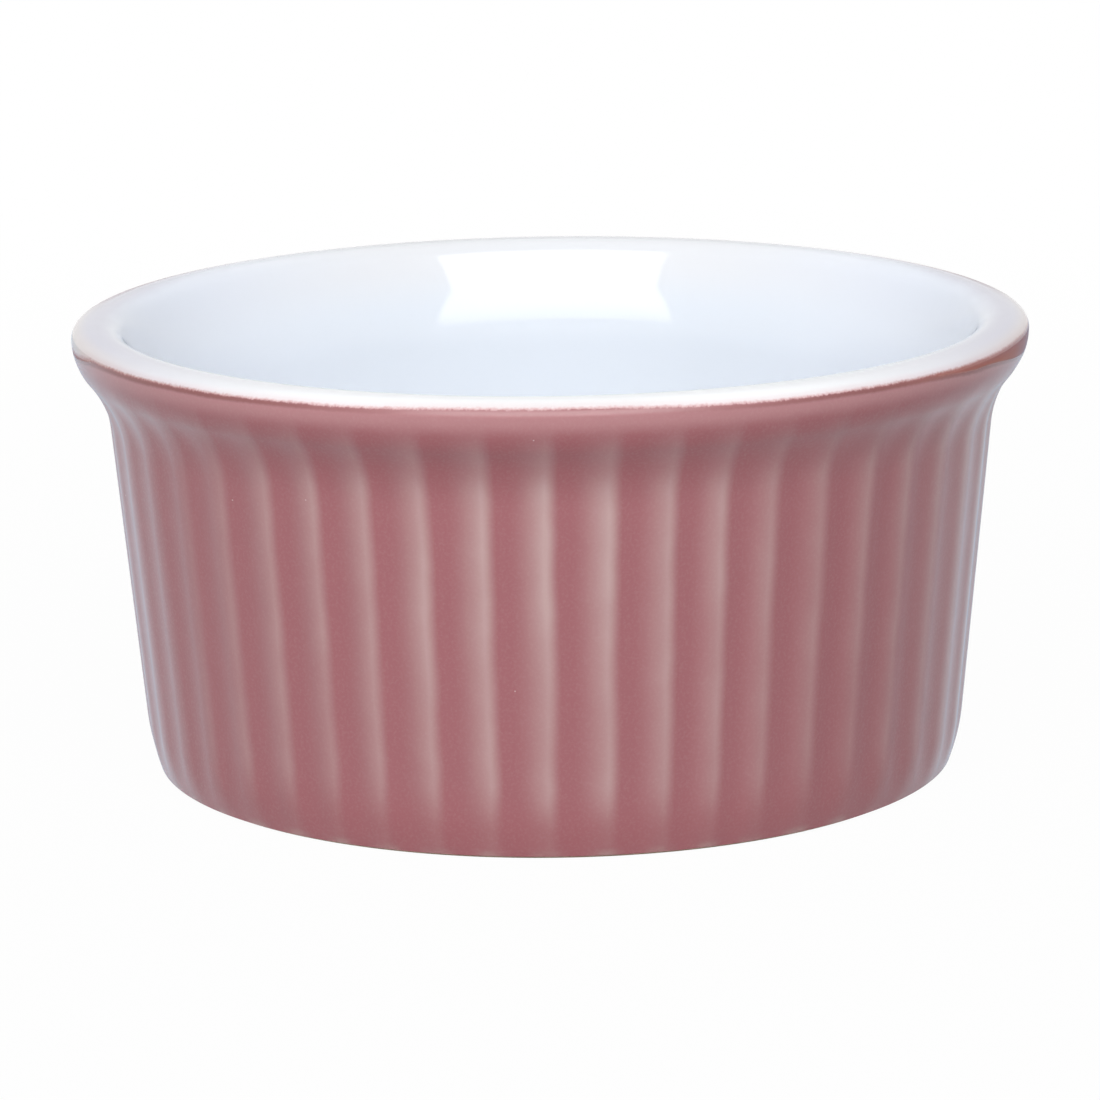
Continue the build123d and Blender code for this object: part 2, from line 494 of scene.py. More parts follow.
class NodeBench:
    """A node tree, with short ways to add the nodes that the finishes and the studio need."""

    # A Mix node has sockets for each kind of value. These are the places of its colours.
    MIX_COLOURS = (6, 7)
    MIX_RESULT = 2

    def __init__(self, owner: bpy.types.Material | bpy.types.World) -> None:
        """Turn on the nodes of a material or a world."""
        owner.use_nodes = True
        self.tree = owner.node_tree

    def feed(self, value: Value, target: bpy.types.NodeSocket) -> None:
        """Link a reading to a socket, or write a number or a colour in it.

        Args:
            value: The reading, number or colour.
            target: The socket that it goes into.
        """
        if isinstance(value, Reading):
            self.tree.links.new(value.socket, target)
        elif isinstance(value, tuple):
            target.default_value = (*value, 1.0)
        else:
            target.default_value = value

    def add(self, kind: str, inputs: Inputs, output: int | str = 0, **settings: str) -> Reading:
        """Add a node.

        Args:
            kind: The kind of node, as Blender names it after the word ShaderNode.
            inputs: What goes into its inputs, by their places or names.
            output: The place or name of the output that is wanted.
            settings: The node's own settings, by name.

        Returns:
            What comes out of the node.
        """
        node = self.tree.nodes.new("ShaderNode" + kind)
        for name, setting in settings.items():
            setattr(node, name, setting)
        for name, value in inputs.items():
            self.feed(value, node.inputs[name])
        return Reading(self, node.outputs[output])

    def parts(self, place: Reading) -> list[Reading]:
        """Take a place apart into its X, Y and Z."""
        return [self.add("SeparateXYZ", {0: place}, axis) for axis in "XYZ"]

    def blend(self, share: Reading, first: Value, second: Value) -> Reading:
        """Mix two colours by a share, which is 0 for the first and 1 for the second."""
        inputs = {"Factor": share, **dict(zip(self.MIX_COLOURS, (first, second)))}
        return self.add("Mix", inputs, self.MIX_RESULT, data_type="RGBA")

    def coats(self, ground: Value, *coats: tuple[Reading, Value]) -> Value:
        """Lay colours over a ground, one after the other.

        Args:
            ground: The ground's colour.
            coats: The share that each colour covers, and the colour.

        Returns:
            The colour that shows.
        """
        for share, colour in coats:
            ground = self.blend(share, ground, colour)
        return ground

    def white_when_seen(self) -> Reading:
        """Tell the rays that show the plain white surround from those that light the dish.

        Returns:
            A value that is 1 for the first and 0 for the second.
        """
        camera, glossy, through = (
            self.add("LightPath", {}, f"Is {kind} Ray") for kind in ("Camera", "Glossy", "Transmission")
        )
        return camera.most(glossy).most(through)


class SurfaceBench(NodeBench):
    """The node tree of a material with one surface shader."""

    def __init__(self, name: str) -> None:
        """Make the material.

        Args:
            name: Its name.
        """
        self.material = bpy.data.materials.new(name)
        super().__init__(self.material)
        self.surface = self.tree.nodes["Principled BSDF"]

    @cached_property
    def place(self) -> Reading:
        """The place on the object, in metres."""
        return self.add("TexCoord", {}, "Object")

    @cached_property
    def chart(self) -> Reading:
        """The place on the object's own map."""
        return self.add("TexCoord", {}, "UV")

    def speckle(self, grain: float, detail: float = 2.0) -> Reading:
        """Make cloudy noise from 0 to 1, with its grain in millimetres and its number of finer layers."""
        inputs = {"Vector": self.place, "Scale": 1 / (grain * MM), "Detail": detail}
        return self.add("TexNoise", inputs, "Fac")

    def waver(self, grain: float, swing: float) -> Reading:
        """Make cloudy noise that swings evenly about zero: a grain and half its range, in millimetres."""
        return (self.speckle(grain) - 0.5) * (2 * swing)

    def dots(self, spacing: float, size: float) -> Reading:
        """Scatter round dots.

        Args:
            spacing: The mean distance between dots, in millimetres.
            size: The radius of a dot, in millimetres.

        Returns:
            A value that is 1 in a dot and 0 elsewhere.
        """
        away = self.add("TexVoronoi", {"Vector": self.place, "Scale": 1 / (spacing * MM)}, "Distance")
        radius = size / spacing
        return away.ease(Ramp(radius * 0.6, radius, 1.0, 0.0))

    def relief(self, *heights: tuple[Reading, float]) -> None:
        """Raise the surface by one or more patterns.

        Args:
            heights: The patterns, each with its height in millimetres.
        """
        inputs: Inputs = {}
        for pattern, height in heights:
            normal = self.add("Bump", {**inputs, "Height": pattern, "Distance": height * MM})
            inputs = {"Normal": normal}
        self.dress(inputs)

    def dress(self, looks: dict[str, Value]) -> bpy.types.Material:
        """Set the surface shader's inputs.

        Args:
            looks: What goes into the inputs, by their names.

        Returns:
            The material.
        """
        for name, value in looks.items():
            self.feed(value, self.surface.inputs[name])
        return self.material

    def glow(self, strength: Reading) -> bpy.types.Material:
        """Make the surface black and glowing, and return the material."""
        looks = {"Base Color": BLACK, "Specular IOR Level": 0.0, "Emission Color": WHITE}
        return self.dress(looks | {"Emission Strength": strength})


class DishBench(SurfaceBench):
    """The node tree of one of the dish's finishes, which reads where on the dish a place is."""

    def __init__(self, name: str, shape: DishShape) -> None:
        """Make the material, and read where a place is.

        Args:
            name: The material's name.
            shape: The dish's outline, for its radius.
        """
        super().__init__(name)
        self.radius = shape.rim_radius
        self.x, self.y, self.z = self.parts(self.place)

    @cached_property
    def across(self) -> Reading:
        """How far right a place is, from -1 to 1 of the rim's radius."""
        return self.x / (self.radius * MM)

    @cached_property
    def side(self) -> Reading:
        """How far a place is to either side, from 0 to 1 of the rim's radius."""
        return abs(self.across)

    @cached_property
    def behind(self) -> Reading:
        """How far back a place is, from -1 to 1 of the rim's radius."""
        return self.y / (self.radius * MM)

    @cached_property
    def front(self) -> Reading:
        """How far towards the viewer a place is, from 0 to 1 of the rim's radius."""
        return (self.behind * -1.0).most(0.0)

    @cached_property
    def level(self) -> Reading:
        """The height above the table, in millimetres."""
        return self.z / MM

    @cached_property
    def inside(self) -> Reading:
        """How far in from the lip's outermost edge a place is, in millimetres."""
        from_axis = (self.x * self.x + self.y * self.y).then("SQRT") / MM
        return from_axis * -1.0 + self.radius


@dataclass(frozen=True)
class LipPaint:
    """The narrow colours where the two coats meet, which both coats share.

    A ramp named for a side runs over the dish's width, bare_shows over the bare band's width, and the
    others down from the white coat's edge, in millimetres. A wave has a grain and a swing.
    """

    white: Colour = (0.88, 0.89, 0.90)
    # Painted shade: the lip's white is greyer and bluer towards the sides.
    shaded_side_white: Colour = (0.61, 0.60, 0.69)
    end_cream: Colour = (0.56, 0.48, 0.44)
    blush: Colour = (0.66, 0.42, 0.43)
    brown: Colour = (0.22, 0.070, 0.068)
    rust: Colour = (0.32, 0.105, 0.09)
    tan: Colour = (0.38, 0.115, 0.066)
    # Painted light: the paler pink of the smooth band under the lip's edge.
    pink: Colour = (0.415, 0.19, 0.202)
    dry_roughness: float = 0.7
    level: float = 48.04
    slant: float = 0.15
    front_rise: float = 0.38
    waves: tuple[Wave, ...] = ((8.0, 0.12), (0.5, 0.07))
    side_climbs: tuple[Ramp, ...] = (
        Ramp(-0.985, -0.925, 0.0, 0.6),
        Ramp(-0.35, -0.2, 0.0, 0.1),
        Ramp(0.05, 0.45, 0.0, -0.35),
        Ramp(0.8, 0.98, 0.0, 0.2),
    )
    fuzz: Wave = (0.35, 0.15)
    bare_wave: Wave = (4.0, 0.15)
    bare_sides: tuple[Ramp, ...] = (
        Ramp(-1.0, -0.9, 0.6, 0.0),
        Ramp(0.72, 0.9, 0.0, 0.8),
        Ramp(0.88, 1.0, 0.0, 1.5),
    )
    bare_shows: Ramp = Ramp(0.03, 0.25)
    bare_end: Ramp = Ramp(-0.2, 0.1, 0.9, 0.0)
    matte_start: Ramp = Ramp(0.0, 0.3)
    matte_end: Ramp = Ramp(-0.2, 0.1, 1.0, 0.0)
    line_end: Ramp = Ramp(0.2, 0.6, 1.0, 0.0)
    line_side: Ramp = Ramp(0.2, 0.7, 0.25, 0.9)
    rust_end: Ramp = Ramp(0.2, 0.75, 0.85, 0.0)
    rust_side: Ramp = Ramp(0.6, 0.85)
    rim_end: Ramp = Ramp(-0.15, 0.06, 1.0, 0.0)
    rim_side: Ramp = Ramp(0.5, 0.85, 0.0, 0.7)
    blush_start: Ramp = Ramp(-0.9, -0.2, 0.0, 0.35)
    white_end: Ramp = Ramp(-0.36, -0.06, 1.0, 0.0)

    def below(self, bench: DishBench) -> Reading:
        """Measure how far below the white coat's wavering edge a place is, in millimetres.

        The edge isn't level, because the dish was dipped by hand.

        Args:
            bench: The finish's node tree.

        Returns:
            The distance, which is negative in the white coat.
        """
        edge = bench.across * self.slant + bench.front * bench.front * self.front_rise
        for wave in self.waves:
            edge += bench.waver(*wave)
        edge += self.level
        for climb in self.side_climbs:
            edge += bench.across.ease(climb)
        return edge - bench.level

    def bare(self, bench: DishBench) -> Reading:
        """Measure how wide the bare clay's band under the white coat's edge is.

        Args:
            bench: The finish's node tree.

        Returns:
            The width in millimetres, which is under zero where the coats meet.
        """
        width = bench.waver(*self.bare_wave)
        for side in self.bare_sides:
            width += bench.across.ease(side)
        return width

    def paint(self, bench: DishBench, under: Value, over: Value) -> Value:
        """Lay the white coat's edge, a bare band and a dark line over a coat's colours.

        Args:
            bench: The finish's node tree.
            under: The pink coat's colour.
            over: The white coat's colour.

        Returns:
            The painted colour.
        """
        below = self.below(bench)
        bare = self.bare(bench)
        past = below - bare.most(0.0)
        fuzzy = below + bench.waver(*self.fuzz)
        rim = bench.blend(bench.side.ease(self.rim_side), self.blush, self.rust)
        tinted = bench.blend(below.ease(self.blush_start), over, self.blush)
        return bench.coats(
            under,
            (past.ease(self.line_end) * bench.side.ease(self.line_side), self.brown),
            (past.ease(self.bare_end) * bare.ease(self.bare_shows), self.tan),
            (fuzzy.ease(self.rust_end) * bench.across.ease(self.rust_side), self.rust),
            (fuzzy.ease(self.rim_end), rim),
            (fuzzy.ease(self.white_end), tinted),
        )

    def matte(self, bench: DishBench) -> Reading:
        """Find the bare clay.

        Args:
            bench: The finish's node tree.

        Returns:
            A share that is 1 where the clay is bare and 0 where a coat covers it.
        """
        below = self.below(bench)
        bare = self.bare(bench)
        under_edge = below.ease(self.matte_start) * bare.ease(self.bare_shows)
        return under_edge * (below - bare).ease(self.matte_end)


@dataclass(frozen=True)
class PinkGlaze:
    """The satin coat outside, with painted shade under the lip, near the foot and on the right side, and pale
    strips on the ridges that are partly a thinner coat and partly painted highlight.

    The phase is how far right of a ridge a place is, as a share of a flute. Ramps named for a side run
    over the dish's width. The strip's end, the hollow and the crest run over the phase, the patches, the
    rub and the mottle over noise, and the others over the height in millimetres.
    """

    pooled: Colour = (0.320, 0.109, 0.124)
    # Painted shade: the darker colour laid in the hollows under the lip and near the foot.
    deep: Colour = (0.318, 0.092, 0.106)
    # Painted shade: the darker colour of the right side, away from the light.
    right: Colour = (0.298, 0.088, 0.103)
    # Pale strips on the ridges: partly a thinner coat, partly painted highlight.
    thin_and_highlight: Colour = (0.482, 0.320, 0.312)
    fleck: Colour = (0.62, 0.46, 0.45)
    smudge: Colour = (0.44, 0.34, 0.31)
    sheen: Colour = (0.38, 0.69, 1.0)
    sheen_weight: float = 0.4
    sheen_roughness: float = 0.3
    roughness: float = 0.26
    phase_wave: Wave = (7.0, 0.05)
    swell: float = 0.6
    swell_power: float = 1.7
    strip_end: Ramp = Ramp(0.0, 0.25, 1.0, 0.0)
    # Painted shade: the strips fade towards the foot.
    strip_low: tuple[Ramp, Ramp] = (Ramp(2.5, 9.0, 0.16, 0.75), Ramp(10.0, 34.0, 0.0, 0.25))
    strip_high: tuple[Ramp, Ramp] = (Ramp(39.3, 43.0, 1.0, 0.45), Ramp(43.0, 48.0, 1.0, 0.0))
    # Painted highlight: the strips are strongest at the front and weaker at the sides, most on the right.
    strip_sides: tuple[Ramp, ...] = (
        Ramp(-0.82, -0.55),
        Ramp(-0.45, -0.1, 0.62, 1.0),
        Ramp(0.0, 0.6, 1.0, 0.45),
    )
    patches: Ramp = Ramp(0.3, 0.7, 0.85, 1.1)
    # Painted shade: the hollows under the lip, darkest just right of each ridge, and the wall near the foot.
    under_lip_shade: tuple[Ramp, Ramp] = (Ramp(38.0, 44.0), Ramp(45.0, 47.4, 1.0, 0.0))
    hollow: tuple[Ramp, Ramp] = (Ramp(0.1, 0.26), Ramp(0.35, 0.95, 1.0, 0.1))
    foot: Ramp = Ramp(1.0, 9.0, 0.6, 0.0)
    crest: tuple[Ramp, Ramp] = (Ramp(0.05, 0.4, 1.0, 0.0), Ramp(0.55, 0.95))
    rub: Ramp = Ramp(0.3, 0.65, 0.05, 0.4)
    rub_height: Ramp = Ramp(0.4, 1.4, 1.0, 0.0)
    right_side: Ramp = Ramp(0.3, 0.7)
    # The band that takes the paler pink, painted light.
    flare: Ramp = Ramp(46.0, 48.0)
    mottle: Ramp = Ramp(0.4, 0.8, 0.0, 0.06)
    fleck_share: float = 0.6
    cream_side: Ramp = Ramp(0.7, 0.95)

    def phase(self, bench: DishBench) -> Reading:
        """Read the phase from the map of the flutes, slightly wavering.

        Args:
            bench: The material's node tree.

        Returns:
            The phase from -0.6 to 0.4.
        """
        chart = bench.add("UVMap", {}, uv_map=FLUTE_MAP)
        turn = bench.parts(chart)[0] + bench.waver(*self.phase_wave)
        return (turn + self.swell).then("FRACT") - self.swell

    def strips(self, bench: DishBench, phase: Reading) -> Reading:
        """Find the pale strips over the ridges, partly a thinner coat and partly painted highlight: it swells
        from the left and ends past the crest, is weaker at the sides and fades towards the foot.

        Args:
            bench: The material's node tree.
            phase: The phase from -0.6 to 0.4.

        Returns:
            A share, 1 where the strip is palest.
        """
        swell = ((phase + self.swell) / self.swell).then("MINIMUM", 1.0)
        ridge = swell.then("POWER", self.swell_power) * phase.ease(self.strip_end)
        foot, wall = self.strip_low
        ends = (bench.level.ease(foot) + bench.level.ease(wall)) * bench.level.ease(*self.strip_high)
        patchy = bench.speckle(grain=9.0).ease(self.patches)
        return ridge * ends * patchy * bench.across.ease(*self.strip_sides)

    def rubbed(self, bench: DishBench, past: Reading) -> Reading:
        """Find where the coat is rubbed off the ridges' feet.

        Args:
            bench: The material's node tree.
            past: The phase from 0 to 1.

        Returns:
            A share, 1 where the coat is gone.
        """
        left, right = self.crest
        crest = past.ease(left).most(past.ease(right))
        return crest * bench.speckle(grain=3.0).ease(self.rub) * bench.level.ease(self.rub_height)

    def colour(self, bench: DishBench, lip: LipPaint) -> Value:
        """Lay the coat's colours over each other.

        Args:
            bench: The material's node tree.
            lip: The colours at the coat's upper edge.

        Returns:
            The coat's colour.
        """
        phase = self.phase(bench)
        past = (phase + 1.0).then("MODULO", 1.0)
        # Painted shade under the lip and near the foot.
        dark = (bench.level.ease(*self.under_lip_shade) * past.ease(*self.hollow)).most(bench.level.ease(self.foot))
        coat = bench.coats(
            self.pooled,
            # Painted shade on the right side.
            (bench.across.ease(self.right_side), self.right),
            # Painted light: paler pink on the band under the lip's edge.
            (bench.level.ease(self.flare), lip.pink),
            (dark, self.deep),
            # Pale strips: partly a thinner coat, partly painted highlight.
            (self.strips(bench, phase), self.thin_and_highlight),
            (self.rubbed(bench, past), self.smudge),
            (bench.speckle(grain=0.3, detail=3.0).ease(self.mottle), self.fleck),
            (bench.dots(spacing=5.0, size=0.11) * self.fleck_share, self.fleck),
        )
        return lip.paint(bench, coat, bench.blend(bench.side.ease(self.cream_side), lip.white, lip.end_cream))

    def material(self, shape: DishShape) -> bpy.types.Material:
        """Build the coat's material.

        Args:
            shape: The dish's outline, for the place of the coat's upper edge.

        Returns:
            The material.
        """
        bench = DishBench("pink_glaze", shape)
        lip = LipPaint()
        bench.relief((bench.speckle(grain=0.7), 0.01), (bench.speckle(grain=5.0, detail=1.0), 0.05))
        return bench.dress(
            {
                "Base Color": self.colour(bench, lip),
                "Roughness": lip.matte(bench).ease(Ramp(0.0, 1.0, self.roughness, lip.dry_roughness)),
                "IOR": GLAZE_IOR,
                "Sheen Weight": self.sheen_weight,
                "Sheen Roughness": self.sheen_roughness,
                "Sheen Tint": self.sheen,
            }
        )


@dataclass(frozen=True)
class WhiteGlaze:
    """The glossy coat inside: cool white, warmer where it thins over the lip, with painted light that makes
    the bowl and the flare brighter at their sides and painted shade that makes the lip's white greyer there.

    Ramps named for a side, the front or the back run over the dish, the flare's over the height and the
    satin edge's down past the coat's edge. The others run in from the lip's outermost edge. All but the
    first are in millimetres.
    """

    bowl: Colour = (0.73, 0.77, 0.825)
    # Painted light: the bowl and the flare are brighter and bluer at their sides.
    side: Colour = (0.88, 0.915, 0.985)
    flare: Colour = (0.755, 0.765, 0.79)
    flare_side: Colour = (0.805, 0.845, 0.93)
    cream: Colour = (0.74, 0.66, 0.61)
    stain: Colour = (0.42, 0.30, 0.29)
    roughness: float = 0.07
    lip_side_from: Ramp = Ramp(0.6, 0.95, 1.5, 2.6)
    lip_side_to: Ramp = Ramp(0.6, 0.95, 3.2, 5.8)
    lip_front: float = 1.4
    lip_wave: Wave = (5.0, 0.5)
    # Painted light: the lip's white is brightest at the front.
    white_front: Ramp = Ramp(0.2, 1.0)
    bowl_side: Ramp = Ramp(0.3, 1.0)
    flare_height: Ramp = Ramp(42.0, 48.0)
    warm_side: Ramp = Ramp(0.75, 1.0)
    warm_back: Ramp = Ramp(-0.1, 0.5)
    warm_reach: Ramp = Ramp(0.2, 2.0, 0.7, 0.0)
    brown_reach: Ramp = Ramp(1.8, 2.7, 0.7, 0.0)
    edge_reach: Ramp = Ramp(1.6, 2.2, 1.0, 0.0)
    satin_edge: Ramp = Ramp(-0.4, 0.0, 0.0, 0.3)

    def over_lip(self, bench: DishBench) -> Reading:
        """Find the top of the lip.

        Args:
            bench: The material's node tree.

        Returns:
            A share that falls from 1 on the lip to 0 in the bowl.
        """
        reach = bench.inside - bench.front * bench.front * self.lip_front + bench.waver(*self.lip_wave)
        start = bench.side.ease(self.lip_side_from)
        stop = bench.side.ease(self.lip_side_to)
        return reach.ease(Ramp(start, stop, 1.0, 0.0))

    def colour(self, bench: DishBench, lip: LipPaint, browned: Reading) -> Value:
        """Lay the coat's colours over each other.

        Args:
            bench: The material's node tree.
            lip: The colours at the coat's outer edge.
            browned: The share of the brown stain on the lip.

        Returns:
            The coat's colour.
        """
        # Painted light: the bowl and the flare turn brighter towards the sides.
        beside = bench.side.ease(self.bowl_side)
        flare = bench.blend(beside, self.flare, self.flare_side)
        # Painted light and shade: the lip's white is bright at the front and greyer at the sides.
        white = bench.blend(bench.front.ease(self.white_front), lip.shaded_side_white, lip.white)
        warm = bench.side.ease(self.warm_side).most(bench.behind.ease(self.warm_back))
        return bench.coats(
            bench.blend(beside, self.bowl, self.side),
            (bench.level.ease(self.flare_height), flare),
            (self.over_lip(bench), white),
            (warm * bench.inside.ease(self.warm_reach), self.cream),
            (browned, self.stain),
        )

    def material(self, shape: DishShape) -> bpy.types.Material:
        """Build the coat's material.

        Args:
            shape: The dish's outline, for the place of the coat's outer edge.

        Returns:
            The material.
        """
        bench = DishBench("white_glaze", shape)
        lip = LipPaint()
        browned = bench.behind.ease(self.warm_back) * bench.inside.ease(self.brown_reach)
        edge = bench.inside.ease(self.edge_reach)
        coat = self.colour(bench, lip, browned)
        satin = lip.below(bench).ease(self.satin_edge) * edge
        dry = (lip.matte(bench) * edge).most(browned)
        bench.relief((bench.speckle(grain=9.0, detail=1.0), 0.05))
        return bench.dress(
            {
                "Base Color": bench.blend(edge, coat, lip.paint(bench, lip.pink, coat)),
                "Roughness": satin.most(dry).ease(Ramp(0.0, 1.0, self.roughness, lip.dry_roughness)),
                "IOR": GLAZE_IOR,
            }
        )


@dataclass(frozen=True)
class BareClay:
    """The fired clay where no glaze covers it: pale tan, matte and grainy."""

    colour: Colour = (0.62, 0.49, 0.36)
    dark: Colour = (0.48, 0.35, 0.24)
    grit: Colour = (0.2, 0.12, 0.08)
    stained: Colour = (0.50, 0.33, 0.29)
    roughness: float = 0.85
    patches: Ramp = Ramp(0.35, 0.7)
    grit_share: float = 0.5
    stain_height: Ramp = Ramp(0.1, 0.35, 0.0, 0.7)

    def material(self, shape: DishShape) -> bpy.types.Material:
        """Build the clay's material.

        Args:
            shape: The dish's outline.

        Returns:
            The material.
        """
        bench = DishBench("bare_clay", shape)
        colour = bench.coats(
            self.colour,
            (bench.speckle(grain=3.0, detail=4.0).ease(self.patches), self.dark),
            (bench.dots(spacing=0.8, size=0.12) * self.grit_share, self.grit),
            (bench.level.ease(self.stain_height), self.stained),
        )
        bench.relief((bench.speckle(grain=0.35, detail=3.0), 0.05))
        return bench.dress({"Base Color": colour, "Roughness": self.roughness})


@dataclass(frozen=True)
class ClearCoat:
    """The thin semi-gloss coat in the recess under the base, with the clay's tone in it."""

    colour: Colour = (0.72, 0.66, 0.57)
    deep: Colour = (0.60, 0.52, 0.42)
    roughness: float = 0.3
    patches: Ramp = Ramp(0.3, 0.7)

    def material(self) -> bpy.types.Material:
        """Build the coat's material.

        Returns:
            The material.
        """
        bench = SurfaceBench("base_coat")
        patches = bench.speckle(grain=7.0, detail=4.0).ease(self.patches)
        bench.relief((bench.speckle(grain=1.5), 0.03))
        return bench.dress(
            {"Base Color": bench.blend(patches, self.colour, self.deep), "Roughness": self.roughness}
        )


def set_up(name: str, mesh: bmesh.types.BMesh, finish: bpy.types.Material) -> bpy.types.Object:
    """Turn a mesh into an object of the scene.

    Args:
        name: The object's name.
        mesh: The object's mesh, which is freed.
        finish: The object's material.

    Returns:
        The object.
    """
    data = bpy.data.meshes.new(name)
    mesh.to_mesh(data)
    mesh.free()
    data.materials.append(finish)
    thing = bpy.data.objects.new(name, data)
    bpy.context.scene.collection.objects.link(thing)
    return thing


@dataclass
class Layer:
    """One layer of the dish: what every layer shares when it becomes a piece."""

    shape: DishShape
    flutes: Flutes
    piece: str = ""
    node: str = ""
    slot: Slot = Slot.STONEWARE
    steps_per_flute: int = 8
    sharp_from: float = 50.0

    def outline(self) -> Outline:
        """Draw the layer's closed outline."""
        raise NotImplementedError

    def finish(self) -> bpy.types.Material:
        """Make the layer's material."""
        raise NotImplementedError

    def build(self) -> bpy.types.Object:
        """Spin, flute and dress the layer, and set it in its node's place.

        Returns:
            The finished piece.
        """
        mesh = self.outline().spun(self.flutes.count, self.steps_per_flute)
        self.flute(mesh)
        self.smooth(mesh)
        piece = set_up(self.piece, mesh, self.finish())
        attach(piece, "root")
        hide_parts(self.node)
        return piece

    def smooth(self, mesh: bmesh.types.BMesh) -> None:
        """Shade the faces smoothly, except where they meet in a sharp corner.

        Args:
            mesh: The layer's mesh.
        """
        for face in mesh.faces:
            face.smooth = True
        for edge in mesh.edges:
            edge.smooth = edge.calc_face_angle(0.0) < math.radians(self.sharp_from)

    def flute(self, mesh: bmesh.types.BMesh) -> None:
        """Press the flutes into a mesh, if this layer has them."""


@dataclass
class FlutedLayer(Layer):
    """A layer whose outside follows the fluted wall."""

    def phase_of(self, place: Vector) -> float:
        """Return a place round the dish as a count of flutes from the one facing -Y."""
        return math.atan2(place.x, -place.y) * self.flutes.count / (2 * math.pi)

    def inner_limit(self, height: float) -> float:
        """Return the radius inside which a vertex belongs to the bowl or the foot's inside."""
        raise NotImplementedError

    def flute(self, mesh: bmesh.types.BMesh) -> None:
        """Move each outer vertex round to its ridge and in by its hollow's depth.

        Args:
            mesh: The layer's mesh, which also gets a map of the flutes.
        """
        chart = mesh.loops.layers.uv.new(FLUTE_MAP)
        phases: dict[int, float] = {}
        mesh.verts.ensure_lookup_table()
        mesh.verts.index_update()
        for vert in mesh.verts:
            height = vert.co.z / MM
            radius = math.hypot(vert.co.x, vert.co.y) / MM
            phase = self.phase_of(vert.co)
            phases[vert.index] = phase
            if radius < self.inner_limit(height):
                continue
            radius -= self.flutes.depth_at(height) * self.flutes.hollow(phase)
            turn = self.flutes.turned(phase)
            vert.co = Vector((math.sin(turn) * radius * MM, -math.cos(turn) * radius * MM, vert.co.z))
        for face in mesh.faces:
            middle = self.phase_of(face.calc_center_median())
            for loop in face.loops:
                phase = phases[loop.vert.index]
                phase += self.flutes.count * round((middle - phase) / self.flutes.count)
                loop[chart].uv = (phase, loop.vert.co.z / MM)


@dataclass
class OuterCoat(FlutedLayer):
    """The pink coat on the fluted wall and the lip's underside."""

    piece: str = "outer_coat"
    node: str = "outer_glaze"
    slot: Slot = Slot.PINK_GLAZE
    steps_per_flute: int = 20

    def inner_limit(self, height: float) -> float:
        """The whole coat lies outside."""
        return 0.0

    def finish(self) -> bpy.types.Material:
        """Make the pink glaze."""
        return PinkGlaze().material(self.shape)

    def outline(self) -> Outline:
        """Draw the coat: up its free side from the foot to the lip, and down the clay.

        Returns:
            The closed outline.
        """
        foot, *others = self.shape.outside_arcs((9, 13, 16, 5))
        line = Outline(foot.point(foot.start))
        line.bend(foot)
        line.run(others[0].point(others[0].start), 20)
        for arc in others:
            line.bend(arc)
        for arc in reversed(self.shape.outside_arcs((3, 5, 5, 2))):
            line.back_along(arc.moved_in(self.shape.glaze))
        line.close()
        return line


@dataclass
class LinerCoat(Layer):
    """The white coat on the floor, the inner wall and the top of the lip."""

    piece: str = "liner_coat"
    node: str = "liner_glaze"
    slot: Slot = Slot.WHITE_GLAZE

    def finish(self) -> bpy.types.Material:
        """Make the white glaze."""
        return WhiteGlaze().material(self.shape)

    def outline(self) -> Outline:
        """Draw the coat: from the lip's edge over the lip to the floor's middle, and back.

        Returns:
            The closed outline.
        """
        shape = self.shape
        *curves, corner = shape.inside_arcs((4, 10, 10, 16, 14))
        line = Outline(curves[0].point(curves[0].start))
        for arc in curves:
            line.bend(arc)
        line.run(corner.point(corner.start), 8)
        line.bend(corner)
        line.run((0.0, shape.floor_height), 14)
        line.run((0.0, shape.floor_height - shape.glaze))
        for arc in reversed(shape.inside_arcs((2, 4, 4, 6, 6))):
            line.back_along(arc.moved_in(shape.glaze))
        line.close()
        return line


